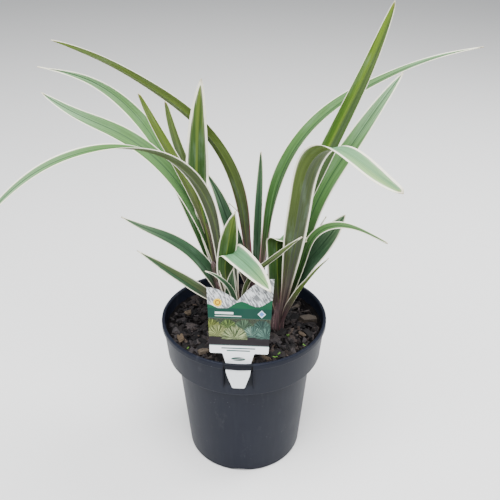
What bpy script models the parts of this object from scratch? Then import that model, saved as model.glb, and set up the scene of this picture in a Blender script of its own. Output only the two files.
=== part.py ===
# Potted variegated dianella: four leafy shoots in bark mix, in a round nursery pot with a plant label.
# Units are metres, +Z is up, and the origin is the centre of the pot's underside.
# -Y is the front of the pot, where the label's tongue hangs outside the collar.

import math
import random
from collections import namedtuple

import bmesh
import bpy
from mathutils import Euler, Matrix, Vector

# Pot: a thin moulded shell, wider in its collar than in its body.
POT_HEIGHT = 0.133
RIM_RADIUS = 0.070
BEAD_HEIGHT = 0.005
COLLAR_TOP_RADIUS = 0.0686
COLLAR_FOOT_RADIUS = 0.0660
COLLAR_FOOT_Z = 0.100
BODY_TOP_RADIUS = 0.0585
BODY_FOOT_RADIUS = 0.0502
POT_WALL = 0.0014
CHANNEL_INNER_RADIUS = 0.037
CHANNEL_OUTER_RADIUS = 0.0475
CHANNEL_HEIGHT = 0.0033
DRAIN_HOLE_RADIUS = 0.003
DRAIN_HOLES = 8
BASE_NOTCHES = 4
BASE_NOTCH_WIDTH = 0.021
POT_STEPS = 64

# Slot for the label behind the rim bead, with a rib on each side of the tongue outside.
SLOT_WIDTH = 0.0228
SLOT_LOW_Z = 0.1255
SLOT_HIGH_Z = 0.1313
SLOT_DEPTH_RADIUS = 0.0692
RIB_OFFSET = 0.0118
RIB_WIDTH = 0.0012
RIB_LOW_Z = 0.110

# Soil plug, and the clearance that neighbouring solids keep.
SOIL_Z = 0.121
SOIL_LUMP = 0.0016
GAP = 0.0003
SOIL_STEPS = 48
BARK_CHIPS = 40
SEED = 7

# Label: a bent plastic sheet, lying back at the top.
LABEL_THICKNESS = 0.0005
LABEL_LEAN = math.radians(12.5)
LABEL_LOW_WIDTH = 0.0446
LABEL_TOP_WIDTH = 0.0505
LABEL_TALL = 0.070
LABEL_SHOULDER = 0.0092
NECK_WIDTH = 0.0196

# Leaf blades and the flattened stems that hold them.
BLADE_THICKNESS = 0.0008
BLADE_SEGMENTS = 22
TIP_WIDTH = 0.0010
ROOT_Z = 0.119
ROOT_OFFSET = 0.002
STEM_FOOT_Z = 0.104
STEM_SIDES = 20
STEM_LONG_RADIUS = 0.0062
STEM_SHORT_RADIUS = 0.0050
STEM_TOP_SHARE = 0.62
FOLD_AT_ROOT = math.radians(60)
FOLD_AT_MIDDLE = math.radians(20)
FOLD_AT_TIP = math.radians(9)

# Each shoot: the place of its stem, which way the stem is long, and how far its top leans (metres).
SHOOTS = {
    "shoot_left": dict(at=(-0.014, 0.010), turn=-10, top=(-0.012, 0.002), tall=0.052),
    "shoot_back": dict(at=(0.008, 0.034), turn=15, top=(-0.001, 0.002), tall=0.050),
    "shoot_front": dict(at=(-0.002, -0.011), turn=-15, top=(-0.004, 0.001), tall=0.030),
    "shoot_right": dict(at=(0.0285, 0.0), turn=10, top=(0.010, -0.001), tall=0.056),
}

# A leaf grows out from its stem as a bent line. heading: where it leans, in degrees about +Z from +X.
# lean and nod: its slope from upright at the root and at the tip, in degrees. at and soft: where along
# the leaf it bends, and over what share of it. sweep: how far the heading turns on the way out. long
# and wide: its size in millimetres. full: the share of its length where it starts to narrow to the tip.
# roll: the turn of the blade about its own line at the root, in degrees. twist: what the bend adds.
# tail: how far the last quarter droops more, or lifts where it is below 0. point: how blunt the tip is,
# from 0.4 for a round one to 1.1 for a long fine one.
Leaf = namedtuple(
    "Leaf", "heading lean nod at soft sweep long wide full roll twist tail point", defaults=(0, 0.9))
TAIL_START = 0.72

LEAVES = {
    "shoot_left": [
        Leaf(230, 6, 116, 0.55, 0.7, -31, 336, 11, 0.45, 80, -115, 20, 0.6),
        Leaf(152, 11, 84, 0.5, 0.8, 8, 278, 15, 0.6, -15, -30, -20, 0.7),
        Leaf(127, 30, 71, 0.65, 0.5, 43, 297, 17, 0.4, 5, -80, 15, 1.1),
        Leaf(160, 5, 32, 0.4, 0.8, 1, 210, 9, 0.55, 90, 5, -5, 0.4),
        Leaf(146, 6, 29, 0.35, 0.8, -5, 196, 9.5, 0.55, 100, 10, -15, 0.4),
        Leaf(156, 11, -3, 0.6, 0.05, 11, 214, 19.5, 0.6, 85, 20, -5, 0.7),
        Leaf(187, 9, 72, 0.5, 1, 2, 141, 13.5, 0.4, -45, 10, -15, 0.8),
        Leaf(209, 12, 46, 0.15, 0.6, -7, 114, 12.5, 0.35, -20, -15, 0, 0.8),
    ],
    "shoot_back": [
        Leaf(191, 5, 57, 0.5, 0.55, -12, 308, 11.5, 0.5, 80, -20, 15, 0.6),
        Leaf(87, 6, 17, 0.55, 0.85, -7, 141, 6.5, 0.45, 0, 0, -15, 0.5),
        Leaf(13, 6, 64, 0.5, 0.55, -10, 321, 16.5, 0.4, 25, -10, 15, 1),
        Leaf(155, 3, 95, 0.9, 0.7, 0, 105, 4, 0.45, 60, 0),
        Leaf(164, 14, 22, 0.55, 1, 1, 134, 14, 0.5, -45, 5, 10, 0.9),
    ],
    "shoot_front": [
        Leaf(327, -18, 10, 0.5, 0.3, 7, 119, 15.5, 0.7, -60, 0, 5, 0.9),
        Leaf(315, -17, 85, 0.47, 0.15, -25, 159, 19, 0.55, 0, 25),
        Leaf(165, 13, -10, 0.6, 0.9, 0, 65, 8, 0.45, -10, 0),
        Leaf(-32, -3, 40, 0.4, 0.45, 0, 118, 6, 0.6, -75, 0),
        Leaf(190, 4, 65, 0.7, 0.8, 0, 75, 7, 0.45, -45, 20),
    ],
    "shoot_right": [
        Leaf(304, 11, 119, 0.7, 0.45, -5, 282, 19, 0.5, -50, 65, -30, 0.4),
        Leaf(-16, 6, 22, 0.4, 0.15, -6, 286, 13.5, 0.45, -75, -15, -5, 0.5),
        Leaf(16, 12, 35, 0.5, 0.4, 10, 238, 16, 0.6, 40, 0, 5, 0.7),
        Leaf(-14, 14, 115, 0.7, 0.45, -1, 162, 9.5, 0.45, 55, -60, -5, 0.4),
        Leaf(9, 10, 37, 0.4, 0.55, 1, 120, 19, 0.65, 65, -20, -5, 0.7),
        Leaf(323, 16, 33, 0.35, 0.9, -3, 101, 9, 0.5, -35, 35, 5, 0.7),
        Leaf(20, 8, 30, 0.45, 0.8, 0, 110, 4, 0.45, 20, 0),
        Leaf(-25, -3, 84, 0.77, 0.1, 0, 114, 17, 0.9, -60, 60, 0, 0.5),
    ],
}


def clear_scene():
    for item in list(bpy.data.objects):
        bpy.data.objects.remove(item)


def new_collection(name):
    collection = bpy.data.collections.new(name)
    bpy.context.scene.collection.children.link(collection)
    return collection


def move_to(item, collection):
    for old in list(item.users_collection):
        old.objects.unlink(item)
    collection.objects.link(item)


def apply_all(item):
    # Replaces the object's mesh by what its modifiers and its placing make of it.
    bpy.context.view_layer.update()
    evaluated = item.evaluated_get(bpy.context.evaluated_depsgraph_get())
    mesh = bpy.data.meshes.new_from_object(evaluated)
    mesh.transform(item.matrix_world)
    item.modifiers.clear()
    item.data = mesh
    item.matrix_world = Matrix.Identity(4)


def triangulate(item):
    # Splits every face into triangles, so that no face of a bent shape is warped.
    work = bmesh.new()
    work.from_mesh(item.data)
    bmesh.ops.triangulate(work, faces=work.faces[:], quad_method="SHORT_EDGE")
    work.to_mesh(item.data)
    work.free()


def boolean(item, operation, collection):
    # Cuts or joins everything in a collection, then removes the collection's objects.
    step = item.modifiers.new(operation.lower(), "BOOLEAN")
    step.operation = operation
    step.operand_type = "COLLECTION"
    step.collection = collection
    step.solver = "EXACT"
    apply_all(item)
    for cutter in list(collection.objects):
        bpy.data.objects.remove(cutter)


def material(name, colour, roughness, metallic=0.0):
    made = bpy.data.materials.new(name)
    made.use_nodes = True
    shader = made.node_tree.nodes["Principled BSDF"]
    shader.inputs["Base Color"].default_value = (*colour, 1.0)
    shader.inputs["Roughness"].default_value = roughness
    shader.inputs["Metallic"].default_value = metallic
    return made


def dress(item, finish, smooth_angle=math.radians(35)):
    item.data.materials.clear()
    item.data.materials.append(finish)
    item.data.shade_smooth()
    item.data.set_sharp_from_angle(angle=smooth_angle)


def turned(name, profile, steps):
    # Turns a profile of (radius, height) points about Z. It runs down the outer side.
    mesh = bpy.data.meshes.new(name)
    edges = [(i, i + 1) for i in range(len(profile) - 1)]
    mesh.from_pydata([(radius, 0.0, height) for radius, height in profile], edges, [])
    item = bpy.data.objects.new(name, mesh)
    bpy.context.scene.collection.objects.link(item)
    screw = item.modifiers.new("turn", "SCREW")
    screw.steps = steps
    screw.render_steps = steps
    screw.use_merge_vertices = True
    screw.merge_threshold = 0.00001
    apply_all(item)
    return item


def box(name, size, place):
    bpy.ops.mesh.primitive_cube_add(size=1, location=place)
    item = bpy.context.object
    item.name = name
    item.scale = size
    apply_all(item)
    return item


def cylinder(name, radius, depth, place, sides=24):
    bpy.ops.mesh.primitive_cylinder_add(vertices=sides, radius=radius, depth=depth, location=place)
    item = bpy.context.object
    item.name = name
    apply_all(item)
    return item


def ease(start, end, value):
    share = min(max((value - start) / (end - start), 0.0), 1.0)
    return share * share * (3 - 2 * share)


def body_radius(height):
    # The outer radius of the pot's tapered body at a height.
    share = height / COLLAR_FOOT_Z
    return BODY_FOOT_RADIUS + (BODY_TOP_RADIUS - BODY_FOOT_RADIUS) * share


def collar_radius(height):
    share = (height - COLLAR_FOOT_Z) / (POT_HEIGHT - BEAD_HEIGHT - COLLAR_FOOT_Z)
    return COLLAR_FOOT_RADIUS + (COLLAR_TOP_RADIUS - COLLAR_FOOT_RADIUS) * share


def pot_profile():
    bead_foot = POT_HEIGHT - BEAD_HEIGHT
    ledge_top = COLLAR_FOOT_Z + POT_WALL
    floor_top = POT_WALL
    channel_top = CHANNEL_HEIGHT + POT_WALL
    round_off = 0.0007
    return [
        (0.0, floor_top),
        (CHANNEL_INNER_RADIUS - POT_WALL, floor_top),
        (CHANNEL_INNER_RADIUS, channel_top),
        (body_radius(channel_top) - POT_WALL, channel_top),
        (body_radius(ledge_top) - POT_WALL, ledge_top),
        (collar_radius(ledge_top) - POT_WALL - round_off, ledge_top),
        (collar_radius(ledge_top + 0.001) - POT_WALL, ledge_top + 0.001),
        (COLLAR_TOP_RADIUS - POT_WALL, bead_foot),
        (RIM_RADIUS - 0.0024, POT_HEIGHT - round_off),
        (RIM_RADIUS - 0.0017, POT_HEIGHT),
        (RIM_RADIUS - round_off, POT_HEIGHT),
        (RIM_RADIUS, POT_HEIGHT - round_off),
        (RIM_RADIUS, bead_foot + round_off),
        (RIM_RADIUS - round_off, bead_foot),
        (COLLAR_TOP_RADIUS, bead_foot - 0.0003),
        (collar_radius(COLLAR_FOOT_Z + round_off), COLLAR_FOOT_Z + round_off),
        (COLLAR_FOOT_RADIUS - round_off, COLLAR_FOOT_Z),
        (BODY_TOP_RADIUS + round_off, COLLAR_FOOT_Z),
        (BODY_TOP_RADIUS, COLLAR_FOOT_Z - round_off),
        (BODY_FOOT_RADIUS, 0.0012),
        (BODY_FOOT_RADIUS - 0.0010, 0.0),
        (CHANNEL_OUTER_RADIUS, 0.0),
        (CHANNEL_OUTER_RADIUS, CHANNEL_HEIGHT),
        (CHANNEL_INNER_RADIUS + POT_WALL, CHANNEL_HEIGHT),
        (CHANNEL_INNER_RADIUS, 0.0),
        (0.0, 0.0),
    ]


def make_pot(parts, cutters):
    pot = turned("nursery_pot", pot_profile(), POT_STEPS)
    move_to(pot, parts)
    bead_foot = POT_HEIGHT - BEAD_HEIGHT
    # Each rib's inner edge follows the middle of the tapered wall, so that the union joins it there.
    for side in (-1, 1):
        tall = bead_foot + 0.001 - RIB_LOW_Z
        rib_front = math.sqrt(RIM_RADIUS ** 2 - RIB_OFFSET ** 2) - 0.0003
        place = (side * RIB_OFFSET, -rib_front, RIB_LOW_Z + tall / 2)
        rib = box("pocket_rib", (RIB_WIDTH, 0.001, tall), place)
        for vertex in rib.data.vertices:
            wall_middle = collar_radius(vertex.co.z) - POT_WALL / 2
            if vertex.co.y > -rib_front:
                vertex.co.y = -math.sqrt(wall_middle ** 2 - RIB_OFFSET ** 2)
            else:
                vertex.co.y = -rib_front
        move_to(rib, cutters)
    boolean(pot, "UNION", cutters)
    slot_reach = 0.006
    slot_size = (SLOT_WIDTH, slot_reach, SLOT_HIGH_Z - SLOT_LOW_Z)
    slot_place = (0.0, -SLOT_DEPTH_RADIUS + slot_reach / 2, (SLOT_HIGH_Z + SLOT_LOW_Z) / 2)
    move_to(box("label_slot", slot_size, slot_place), cutters)
    hole_ring = (CHANNEL_INNER_RADIUS + CHANNEL_OUTER_RADIUS) / 2
    for count in range(DRAIN_HOLES):
        angle = 2 * math.pi * (count + 0.5) / DRAIN_HOLES
        place = (hole_ring * math.cos(angle), hole_ring * math.sin(angle), CHANNEL_HEIGHT)
        move_to(cylinder("drain_hole", DRAIN_HOLE_RADIUS, 0.008, place), cutters)
    boolean(pot, "DIFFERENCE", cutters)
    # Each notch is a flat arch: a wide lying cylinder that only just rises into the base edge.
    arch_high = CHANNEL_HEIGHT - 0.0006
    arch_radius = (BASE_NOTCH_WIDTH ** 2 / 4 + arch_high ** 2) / (2 * arch_high)
    for count in range(BASE_NOTCHES):
        angle = 2 * math.pi * count / BASE_NOTCHES - math.pi / 2
        reach = (BODY_FOOT_RADIUS + CHANNEL_OUTER_RADIUS) / 2
        bpy.ops.mesh.primitive_cylinder_add(
            vertices=96, radius=arch_radius, depth=0.008,
            location=(reach * math.cos(angle), reach * math.sin(angle), arch_high - arch_radius),
            rotation=(math.pi / 2, 0.0, angle + math.pi / 2))
        arch = bpy.context.object
        apply_all(arch)
        move_to(arch, cutters)
    boolean(pot, "DIFFERENCE", cutters)
    dress(pot, material("pot_plastic", (0.045, 0.052, 0.068), 0.5))
    return pot


def soil_profile():
    floor = POT_WALL + GAP
    channel_top = CHANNEL_HEIGHT + POT_WALL + GAP
    ledge = COLLAR_FOOT_Z + POT_WALL + GAP
    edge = collar_radius(SOIL_Z) - POT_WALL - GAP
    rings = 9
    inner = [(edge * i / rings, SOIL_Z) for i in range(rings)]
    wall = POT_WALL + GAP + 0.0001
    return inner + [
        (edge, SOIL_Z),
        (collar_radius(ledge + 0.0015) - wall, ledge + 0.0015),
        (collar_radius(ledge) - wall - 0.0012, ledge),
        (body_radius(ledge) - wall, ledge),
        (body_radius(channel_top) - wall, channel_top),
        (CHANNEL_INNER_RADIUS - 0.0004, channel_top),
        (CHANNEL_INNER_RADIUS - POT_WALL - 0.0006, floor),
        (0.0, floor),
    ]


def lump(x, y):
    # A smooth bumpy relief, from waves that cross at odd angles.
    total = 0.0
    for turn, pitch, shift in ((0.3, 0.017, 0.4), (1.5, 0.013, 1.9), (2.4, 0.021, 3.1), (0.9, 0.009, 5.0)):
        total += math.sin((x * math.cos(turn) + y * math.sin(turn)) * 2 * math.pi / pitch + shift)
    return total / 4


def clear_of_stems(x, y):
    # 0 beside a stem, 1 from a thumb's width away.
    nearest = min(math.hypot(x - shoot["at"][0], y - shoot["at"][1]) for shoot in SHOOTS.values())
    return ease(0.009, 0.016, nearest)


def make_soil(parts, cutters):
    soil = turned("bark_mix", soil_profile(), SOIL_STEPS)
    move_to(soil, parts)
    for vertex in soil.data.vertices:
        if vertex.co.z > SOIL_Z - 0.0001:
            x, y, z = vertex.co
            vertex.co.z = z + SOIL_LUMP * lump(x, y) * clear_of_stems(x, y)
    triangulate(soil)
    draw = random.Random(SEED)
    for count in range(BARK_CHIPS):
        spread = 0.058 * math.sqrt(draw.random())
        angle = draw.uniform(0, 2 * math.pi)
        x = spread * math.cos(angle)
        y = spread * math.sin(angle)
        size = (draw.uniform(0.006, 0.013), draw.uniform(0.004, 0.007), draw.uniform(0.0025, 0.004))
        tilt = Euler((draw.uniform(-0.4, 0.4), draw.uniform(-0.4, 0.4), draw.uniform(0, math.pi)))
        if clear_of_stems(x, y) < 1.0:
            continue
        bpy.ops.mesh.primitive_cube_add(size=1, rotation=tilt)
        chip = bpy.context.object
        chip.location = (x, y, SOIL_Z + SOIL_LUMP * lump(x, y) + 0.0004)
        chip.scale = size
        apply_all(chip)
        move_to(chip, cutters)
    boolean(soil, "UNION", cutters)
    for shoot in SHOOTS.values():
        hole = stem_prism("stem_hole", shoot, GAP + 0.0001, STEM_FOOT_Z - GAP, SOIL_Z + 0.02)
        move_to(hole, cutters)
    boolean(soil, "DIFFERENCE", cutters)
    dress(soil, material("bark", (0.028, 0.022, 0.020), 0.9))
    return soil


def stem_prism(name, shoot, grow, low, high):
    # A straight flattened stem between two heights, larger all round by grow.
    x, y = shoot["at"]
    bpy.ops.mesh.primitive_cylinder_add(
        vertices=STEM_SIDES, radius=1, depth=high - low, location=(x, y, (low + high) / 2),
        rotation=(0, 0, math.radians(shoot["turn"])))
    prism = bpy.context.object
    prism.name = name
    prism.scale = (STEM_LONG_RADIUS + grow, STEM_SHORT_RADIUS + grow, 1)
    apply_all(prism)
    return prism


def make_stem(name, shoot):
    # The sheathed stem: straight in its hole, then leaning and growing thinner.
    straight_top = SOIL_Z + 0.003
    stem = stem_prism(name, shoot, 0.0, STEM_FOOT_Z, straight_top + shoot["tall"])
    work = bmesh.new()
    work.from_mesh(stem.data)
    for height in (straight_top, straight_top + shoot["tall"] * 0.5):
        bmesh.ops.bisect_plane(
            work, geom=work.verts[:] + work.edges[:] + work.faces[:], dist=0.000001,
            plane_co=(0, 0, height), plane_no=(0, 0, 1))
    x, y = shoot["at"]
    for vertex in work.verts:
        share = max(vertex.co.z - straight_top, 0.0) / shoot["tall"]
        size = 1 + (STEM_TOP_SHARE - 1) * share
        vertex.co.x = x + (vertex.co.x - x) * size + shoot["top"][0] * share
        vertex.co.y = y + (vertex.co.y - y) * size + shoot["top"][1] * share
    work.to_mesh(stem.data)
    work.free()
    triangulate(stem)
    return stem


def blade_frames(leaf, at):
    # Walks out along the leaf: a place, an out direction, a side direction and a face normal a step.
    heading = math.radians(leaf.heading)
    place = Vector((at[0] + ROOT_OFFSET * math.cos(heading), at[1] + ROOT_OFFSET * math.sin(heading), ROOT_Z))
    length = leaf.long / 1000
    fine = 4
    frames = []
    start = leaf.at - leaf.soft / 2
    end = leaf.at + leaf.soft / 2
    for step in range(BLADE_SEGMENTS * fine + 1):
        share = step / (BLADE_SEGMENTS * fine)
        bend = ease(start, end, share)
        droop = leaf.tail * ease(TAIL_START, 1, share)
        slope = math.radians(leaf.lean + (leaf.nod - leaf.lean) * bend + droop)
        turn = heading + math.radians(leaf.sweep) * share
        out = Vector((math.sin(slope) * math.cos(turn), math.sin(slope) * math.sin(turn), math.cos(slope)))
        side = Vector((-math.sin(turn), math.cos(turn), 0.0))
        side -= out * side.dot(out)
        side.normalize()
        rolled = Matrix.Rotation(math.radians(leaf.roll + leaf.twist * bend), 3, out)
        side = rolled @ side
        if step % fine == 0:
            frames.append((share, place.copy(), side, out.cross(side)))
        place += out * length / (BLADE_SEGMENTS * fine)
    return frames


def blade_width(share, full, point):
    # The share of the full width: a narrow sheath, the widest part, and a long taper to the tip.
    grown = 0.5 + 0.5 * ease(0.0, 0.4, share)
    past = min(max((share - full) / (1 - full), 0.0), 1.0)
    return grown * max(1 - past ** 1.8, 0.0) ** point


def blade_fold(share):
    opened = ease(0.0, 0.45, share)
    fold = FOLD_AT_ROOT + (FOLD_AT_MIDDLE - FOLD_AT_ROOT) * opened
    return fold + (FOLD_AT_TIP - FOLD_AT_MIDDLE) * ease(0.5, 1.0, share)


def make_blade(name, leaf, at):
    # A long grid, two faces wide, laid along the leaf's line and folded along its middle.
    bpy.ops.mesh.primitive_grid_add(x_subdivisions=2, y_subdivisions=BLADE_SEGMENTS, size=2)
    blade = bpy.context.object
    blade.name = name
    frames = blade_frames(leaf, at)
    for vertex in blade.data.vertices:
        across = vertex.co.x
        share, place, side, face = frames[round((vertex.co.y + 1) / 2 * BLADE_SEGMENTS)]
        half = max(leaf.wide / 1000 * blade_width(share, leaf.full, leaf.point), TIP_WIDTH) / 2
        fold = blade_fold(share)
        spread = across * half * math.cos(fold)
        rise = (abs(across) - 0.5) * half * math.sin(fold)
        vertex.co = place + side * spread + face * rise
    triangulate(blade)
    thick = blade.modifiers.new("thickness", "SOLIDIFY")
    thick.thickness = BLADE_THICKNESS
    thick.offset = 0.0
    thick.use_even_offset = True
    apply_all(blade)
    triangulate(blade)
    return blade


def fill_pockets(item):
    # Removes the small closed shells left where crossing blades shut in a pocket, so it is solid there.
    work = bmesh.new()
    work.from_mesh(item.data)
    lowest = min(work.verts, key=lambda vertex: vertex.co.z)
    outside = {lowest}
    border = [lowest]
    while border:
        for edge in border.pop().link_edges:
            for vertex in edge.verts:
                if vertex not in outside:
                    outside.add(vertex)
                    border.append(vertex)
    inside = [vertex for vertex in work.verts if vertex not in outside]
    bmesh.ops.delete(work, geom=inside, context="VERTS")
    work.to_mesh(item.data)
    work.free()


def make_shoot(name, parts, cutters, finish):
    shoot = SHOOTS[name]
    stem = make_stem(name, shoot)
    move_to(stem, parts)
    for count, leaf in enumerate(LEAVES[name]):
        move_to(make_blade(f"{name}_leaf_{count}", leaf, shoot["at"]), cutters)
    boolean(stem, "UNION", cutters)
    fill_pockets(stem)
    dress(stem, finish)
    return stem


def label_side(height):
    # Half the label's width at a height along the sheet, above its shoulder.
    share = (height - LABEL_SHOULDER) / (LABEL_TALL - LABEL_SHOULDER)
    return (LABEL_LOW_WIDTH + (LABEL_TOP_WIDTH - LABEL_LOW_WIDTH) * share) / 2


def label_outline():
    # Points (across, along the sheet), from the tongue's tip round to the left.
    notch = (-0.0010, 0.0517)
    right = [(0.0043, -0.0212), (0.0088, -0.0090), (0.0100, -0.0045), (NECK_WIDTH / 2, 0.0010)]
    right += [(0.0122, LABEL_SHOULDER), (label_side(LABEL_SHOULDER) - 0.0010, LABEL_SHOULDER)]
    right += [(label_side(LABEL_SHOULDER), LABEL_SHOULDER + 0.0010)]
    right += [(LABEL_TOP_WIDTH / 2 + 0.0012, LABEL_TALL)]
    lobes = []
    for count in range(1, 7):
        share = count / 7
        across = LABEL_TOP_WIDTH / 2 + 0.0012 + (notch[0] - LABEL_TOP_WIDTH / 2 - 0.0012) * share
        lobes.append((across, notch[1] + (LABEL_TALL - notch[1]) * (1 - share ** 2.1)))
    lobes.append(notch)
    left_corner = (-LABEL_TOP_WIDTH / 2 + 0.0009, 0.0625)
    for count in range(1, 7):
        share = count / 7
        across = notch[0] + (left_corner[0] - notch[0]) * share
        lobes.append((across, left_corner[1] - (left_corner[1] - notch[1]) * (1 - share) ** 1.9))
    lobes.append(left_corner)
    left = [(-label_side(LABEL_SHOULDER), LABEL_SHOULDER + 0.0010)]
    left += [(-label_side(LABEL_SHOULDER) + 0.0010, LABEL_SHOULDER), (-0.0122, LABEL_SHOULDER)]
    left += [(-NECK_WIDTH / 2, 0.0010), (-0.0093, -0.0045), (-0.0084, -0.0090), (-0.0040, -0.0212)]
    return right + lobes + left + [(-0.0022, -0.0232), (0.0024, -0.0232)]


def label_bend(height):
    # The sheet's distance forward and its height, from the length along it: it lies back above the
    # slot, slopes out through the slot, and follows the collar below.
    slot_y = -0.0664
    slot_z = SLOT_HIGH_Z
    pass_length = 0.0050
    pass_slope = math.radians(32)
    out_y = slot_y - pass_length * math.sin(pass_slope)
    out_z = slot_z - pass_length * math.cos(pass_slope)
    if height >= 0.0:
        return slot_y + height * math.sin(LABEL_LEAN), slot_z + height * math.cos(LABEL_LEAN)
    if height >= -pass_length:
        return slot_y + height * math.sin(pass_slope), slot_z + height * math.cos(pass_slope)
    taper = (COLLAR_TOP_RADIUS - COLLAR_FOOT_RADIUS) / (POT_HEIGHT - BEAD_HEIGHT - COLLAR_FOOT_Z)
    return out_y - (height + pass_length) * taper, out_z + height + pass_length


def make_label(parts):
    curve = bpy.data.curves.new("plant_label", "CURVE")
    curve.dimensions = "2D"
    curve.fill_mode = "BOTH"
    curve.extrude = LABEL_THICKNESS / 2
    outline = label_outline()
    spline = curve.splines.new("POLY")
    spline.points.add(len(outline) - 1)
    for point, (across, along) in zip(spline.points, outline):
        point.co = (across, along, 0.0, 1.0)
    spline.use_cyclic_u = True
    flat = bpy.data.objects.new("flat_label", curve)
    bpy.context.scene.collection.objects.link(flat)
    bpy.context.view_layer.update()
    mesh = bpy.data.meshes.new_from_object(flat.evaluated_get(bpy.context.evaluated_depsgraph_get()))
    bpy.data.objects.remove(flat)
    work = bmesh.new()
    work.from_mesh(mesh)
    bmesh.ops.remove_doubles(work, verts=work.verts[:], dist=0.00001)
    for height in (0.0, -0.0050):
        bmesh.ops.bisect_plane(
            work, geom=work.verts[:] + work.edges[:] + work.faces[:], dist=0.000001,
            plane_co=(0, height, 0), plane_no=(0, 1, 0))
    for vertex in work.verts:
        across, along, depth = vertex.co
        y, z = label_bend(along)
        vertex.co = (across, y - depth, z)
    bmesh.ops.triangulate(work, faces=work.faces[:])
    bmesh.ops.recalc_face_normals(work, faces=work.faces[:])
    work.to_mesh(mesh)
    work.free()
    label = bpy.data.objects.new("plant_label", mesh)
    parts.objects.link(label)
    dress(label, material("label_sheet", (0.75, 0.77, 0.76), 0.35), math.radians(50))
    return label


clear_scene()
parts_collection = new_collection("potted_dianella")
cutter_collection = new_collection("cutters")
make_pot(parts_collection, cutter_collection)
make_soil(parts_collection, cutter_collection)
leaf_finish = material("leaf", (0.09, 0.20, 0.07), 0.45)
for shoot_name in SHOOTS:
    make_shoot(shoot_name, parts_collection, cutter_collection, leaf_finish)
make_label(parts_collection)
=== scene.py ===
# A potted variegated dianella: four fans of folded strap leaves with cream edges, growing in bark mix
# in a round nursery pot with a plant label. Metres, +Z up, and the label is at the front, towards -Y.
import math
import random
from collections import namedtuple

import bpy
from mathutils import Matrix, Vector, noise


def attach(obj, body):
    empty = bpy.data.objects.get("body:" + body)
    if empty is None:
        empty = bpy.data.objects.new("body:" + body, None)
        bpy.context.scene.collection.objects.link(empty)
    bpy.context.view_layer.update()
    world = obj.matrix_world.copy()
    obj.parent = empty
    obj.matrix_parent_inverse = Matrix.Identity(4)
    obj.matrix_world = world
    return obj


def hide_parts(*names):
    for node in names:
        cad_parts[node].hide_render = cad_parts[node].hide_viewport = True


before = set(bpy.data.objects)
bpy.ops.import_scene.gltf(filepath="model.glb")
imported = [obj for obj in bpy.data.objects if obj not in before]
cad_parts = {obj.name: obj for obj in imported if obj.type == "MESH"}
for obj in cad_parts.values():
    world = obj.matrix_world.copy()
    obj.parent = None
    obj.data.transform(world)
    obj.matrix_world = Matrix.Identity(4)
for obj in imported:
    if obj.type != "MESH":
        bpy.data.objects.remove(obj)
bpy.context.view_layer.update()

# The studio: a pale floor, a large soft light over the front left, a weak one behind on the right, and an
# even pale surround. It is seen from over the pot and slightly to the right of the label.
bpy.ops.object.camera_add(
    location=(0.0351, -0.4906, 0.4696), rotation=(math.radians(60.87), 0.0, math.radians(3.5)))
camera = bpy.context.object
camera.data.lens = 50
camera.data.sensor_width = 36
camera.data.clip_start = 0.02
bpy.context.scene.camera = camera

bpy.ops.mesh.primitive_plane_add(size=8)
floor = bpy.context.object
floor.name = "floor"
floor_paint = bpy.data.materials.new("floor_paint")
floor_paint.use_nodes = True
floor_inputs = floor_paint.node_tree.nodes["Principled BSDF"].inputs
floor_inputs["Base Color"].default_value = (0.86, 0.86, 0.86, 1)
floor_inputs["Roughness"].default_value = 0.9
floor.data.materials.append(floor_paint)

surround = bpy.data.worlds.new("surround")
surround.use_nodes = True
surround_inputs = surround.node_tree.nodes["Background"].inputs
surround_inputs["Color"].default_value = (0.94, 0.97, 1.0, 1)
surround_inputs["Strength"].default_value = 0.40
bpy.context.scene.world = surround

LIGHTS_AIM = Vector((0, 0, 0.2))


def soft_light(place, size, energy):
    bpy.ops.object.light_add(type="AREA", location=place)
    lamp = bpy.context.object
    lamp.data.shape = "DISK"
    lamp.data.size = size
    lamp.data.energy = energy
    lamp.rotation_euler = (LIGHTS_AIM - lamp.location).to_track_quat("-Z", "Y").to_euler()


soft_light((-0.15, -0.60, 1.7), 1.8, 88)
soft_light((0.9, 0.4, 1.1), 0.8, 16)


# The nursery pot: one thin shell of dark moulded plastic with a rolled rim, a tall collar and a ledge,
# a tapered body, and a ring foot outside the channel that its drain holes open into. The label's tongue
# comes out through a slot under the rim, between two ribs, and the foot has four low arches.
class Pattern:
    # A value or a colour on its way through a finish's nodes, so that patterns are written as sums.
    def __init__(self, finish, socket):
        self.finish = finish
        self.socket = socket

    def sum_with(self, operation, other=0.0, turned=False):
        first, second = (other, self) if turned else (self, other)
        return self.finish.node("ShaderNodeMath", {"operation": operation}, {0: first, 1: second})

    def __add__(self, other):
        return self.sum_with("ADD", other)

    def __sub__(self, other):
        return self.sum_with("SUBTRACT", other)

    def __mul__(self, other):
        return self.sum_with("MULTIPLY", other)

    def __truediv__(self, other):
        return self.sum_with("DIVIDE", other)

    def __rsub__(self, other):
        return self.sum_with("SUBTRACT", other, turned=True)

    __radd__ = __add__
    __rmul__ = __mul__

    def below(self, other):
        return self.sum_with("MINIMUM", other)

    def size(self):
        return self.sum_with("ABSOLUTE")

    def wave(self):
        return self.sum_with("SINE")

    def ease(self, start, end):
        # Rises smoothly from 0 at start to 1 at end, or falls where end is the smaller.
        low, high, first, last = (start, end, 0.0, 1.0) if start < end else (end, start, 1.0, 0.0)
        values = {"Value": self, "From Min": low, "From Max": high, "To Min": first, "To Max": last}
        return self.finish.node("ShaderNodeMapRange", {"interpolation_type": "SMOOTHSTEP"}, values)


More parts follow.
